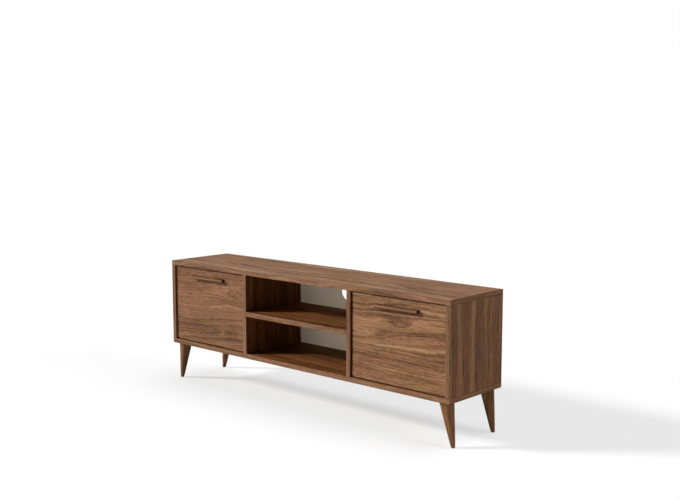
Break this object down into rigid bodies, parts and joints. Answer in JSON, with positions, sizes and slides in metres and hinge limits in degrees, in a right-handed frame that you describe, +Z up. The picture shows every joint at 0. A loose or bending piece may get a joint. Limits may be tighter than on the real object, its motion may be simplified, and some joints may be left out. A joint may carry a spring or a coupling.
{
  "type": "tv stand",
  "caption": "Low television cabinet on splayed tapered legs, with a drop-down door at each end, an open centre bay with a shelf, and a cable hole in its back.",
  "frame": {"origin": "on the floor, under the middle of the whole object", "axes": "+X to the right along the cabinet as seen from the front, +Y to the back, +Z up"},
  "size_m": [1.4, 0.307, 0.492],
  "materials": {
    "walnut_board": "satin walnut-effect foil on particleboard, straight grain",
    "walnut_door": "satin walnut-effect foil, cathedral figure lying along the door",
    "walnut_leg": "satin walnut-stained turned wood",
    "walnut_rail": "satin walnut-effect rail",
    "grey_hardboard": "matt grey-brown printed hardboard",
    "dark_bronze": "dark bronze satin",
    "zinc_steel": "bright zinc plate",
    "insert_brass": "plain brass",
    "nylon": "natural nylon",
    "brown_plastic": "moulded brown plastic",
    "magnet": "dark nickel-plated pole plate"
  },
  "bodies": {
    "cabinet": {"bottom_panel": "walnut_board", "centre_back_panel": "grey_hardboard", "front_left_leg": "walnut_leg", "front_left_leg_bolt": "zinc_steel", "front_left_leg_insert": "insert_brass", "front_right_leg": "walnut_leg", "front_right_leg_bolt": "zinc_steel", "front_right_leg_insert": "insert_brass", "left_back_panel": "grey_hardboard", "left_catch_case": "brown_plastic", "left_catch_magnet": "magnet", "left_divider": "walnut_board", "left_door_inner_bush": "nylon", "left_door_outer_bush": "nylon", "left_side_panel": "walnut_board", "left_stay_brake_screw": "dark_bronze", "left_stay_side_plate": "zinc_steel", "middle_shelf": "walnut_board", "rear_left_leg": "walnut_leg", "rear_left_leg_bolt": "zinc_steel", "rear_left_leg_insert": "insert_brass", "rear_right_leg": "walnut_leg", "rear_right_leg_bolt": "zinc_steel", "rear_right_leg_insert": "insert_brass", "right_back_panel": "grey_hardboard", "right_catch_case": "brown_plastic", "right_catch_magnet": "magnet", "right_divider": "walnut_board", "right_door_inner_bush": "nylon", "right_door_outer_bush": "nylon", "right_side_panel": "walnut_board", "right_stay_brake_screw": "dark_bronze", "right_stay_side_plate": "zinc_steel", "top_panel": "walnut_board"},
    "left_door": {"left_door_inner_hinge_pin": "zinc_steel", "left_door_outer_hinge_pin": "zinc_steel", "left_door_panel": "walnut_door", "left_handle_left_post": "dark_bronze", "left_handle_left_screw": "zinc_steel", "left_handle_rail": "walnut_rail", "left_handle_right_post": "dark_bronze", "left_handle_right_screw": "zinc_steel", "left_stay_door_bracket": "zinc_steel", "left_stay_rivet": "zinc_steel", "left_strike_plate": "zinc_steel"},
    "left_stay_arm": {"left_stay_arm": "zinc_steel"},
    "right_door": {"right_door_inner_hinge_pin": "zinc_steel", "right_door_outer_hinge_pin": "zinc_steel", "right_door_panel": "walnut_door", "right_handle_left_post": "dark_bronze", "right_handle_left_screw": "zinc_steel", "right_handle_rail": "walnut_rail", "right_handle_right_post": "dark_bronze", "right_handle_right_screw": "zinc_steel", "right_stay_door_bracket": "zinc_steel", "right_stay_rivet": "zinc_steel", "right_strike_plate": "zinc_steel"},
    "right_stay_arm": {"right_stay_arm": "zinc_steel"}
  },
  "joints": [
    {"name": "left_door_hinge", "type": "hinge", "parent": "cabinet", "child": "left_door", "pos_m": [-0.4785, -0.1305, 0.1875], "axis": [1, 0, 0], "range_deg": [0, 90]},
    {"name": "left_stay_pivot", "type": "hinge", "parent": "left_door", "child": "left_stay_arm", "pos_m": [-0.67475, -0.1095, 0.2975], "axis": [1, 0, 0], "range_deg": [-45, 0]},
    {"name": "right_door_hinge", "type": "hinge", "parent": "cabinet", "child": "right_door", "pos_m": [0.4785, -0.1305, 0.1875], "axis": [1, 0, 0], "range_deg": [0, 90]},
    {"name": "right_stay_pivot", "type": "hinge", "parent": "right_door", "child": "right_stay_arm", "pos_m": [0.67475, -0.1095, 0.2975], "axis": [1, 0, 0], "range_deg": [-45, 0]}
  ],
  "couplings": [
    {"joint": "left_stay_pivot", "follows": "left_door_hinge", "ratio": -0.5},
    {"joint": "right_stay_pivot", "follows": "right_door_hinge", "ratio": -0.5}
  ]
}
